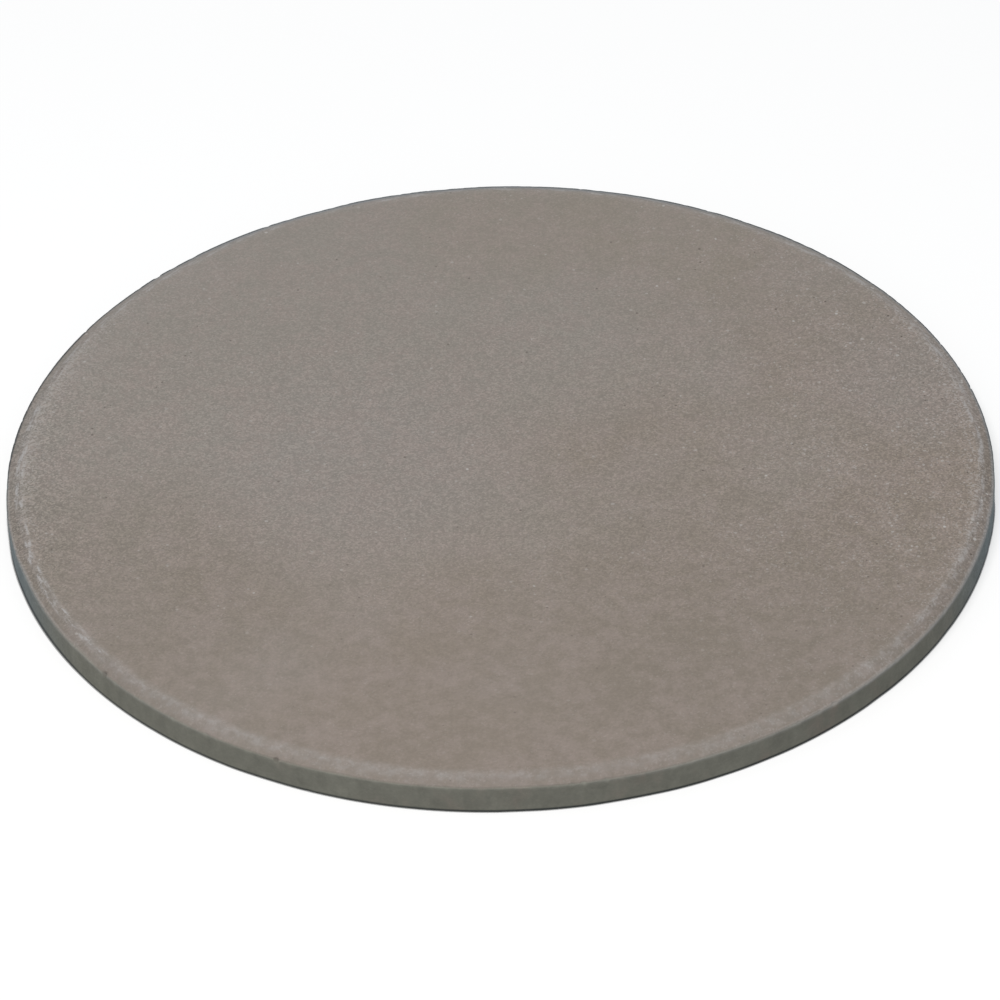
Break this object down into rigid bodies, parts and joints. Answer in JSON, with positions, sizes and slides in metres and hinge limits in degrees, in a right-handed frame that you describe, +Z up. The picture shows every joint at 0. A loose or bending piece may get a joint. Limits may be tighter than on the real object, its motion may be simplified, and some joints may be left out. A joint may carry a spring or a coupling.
{
  "type": "pizza stone",
  "caption": "Round, flat, fired cordierite baking stone with a gently sloped edge round its baking face.",
  "frame": {"origin": "centre of the flat underside, which rests on the surface below", "axes": "+Z up along the disc's own axis, from the underside to the baking face; +X to the right and +Y away in the picture's view"},
  "size_m": [0.38, 0.38, 0.0136],
  "materials": {
    "cordierite": "matte"
  },
  "bodies": {
    "root": {"baking_stone": "cordierite"}
  },
  "joints": []
}
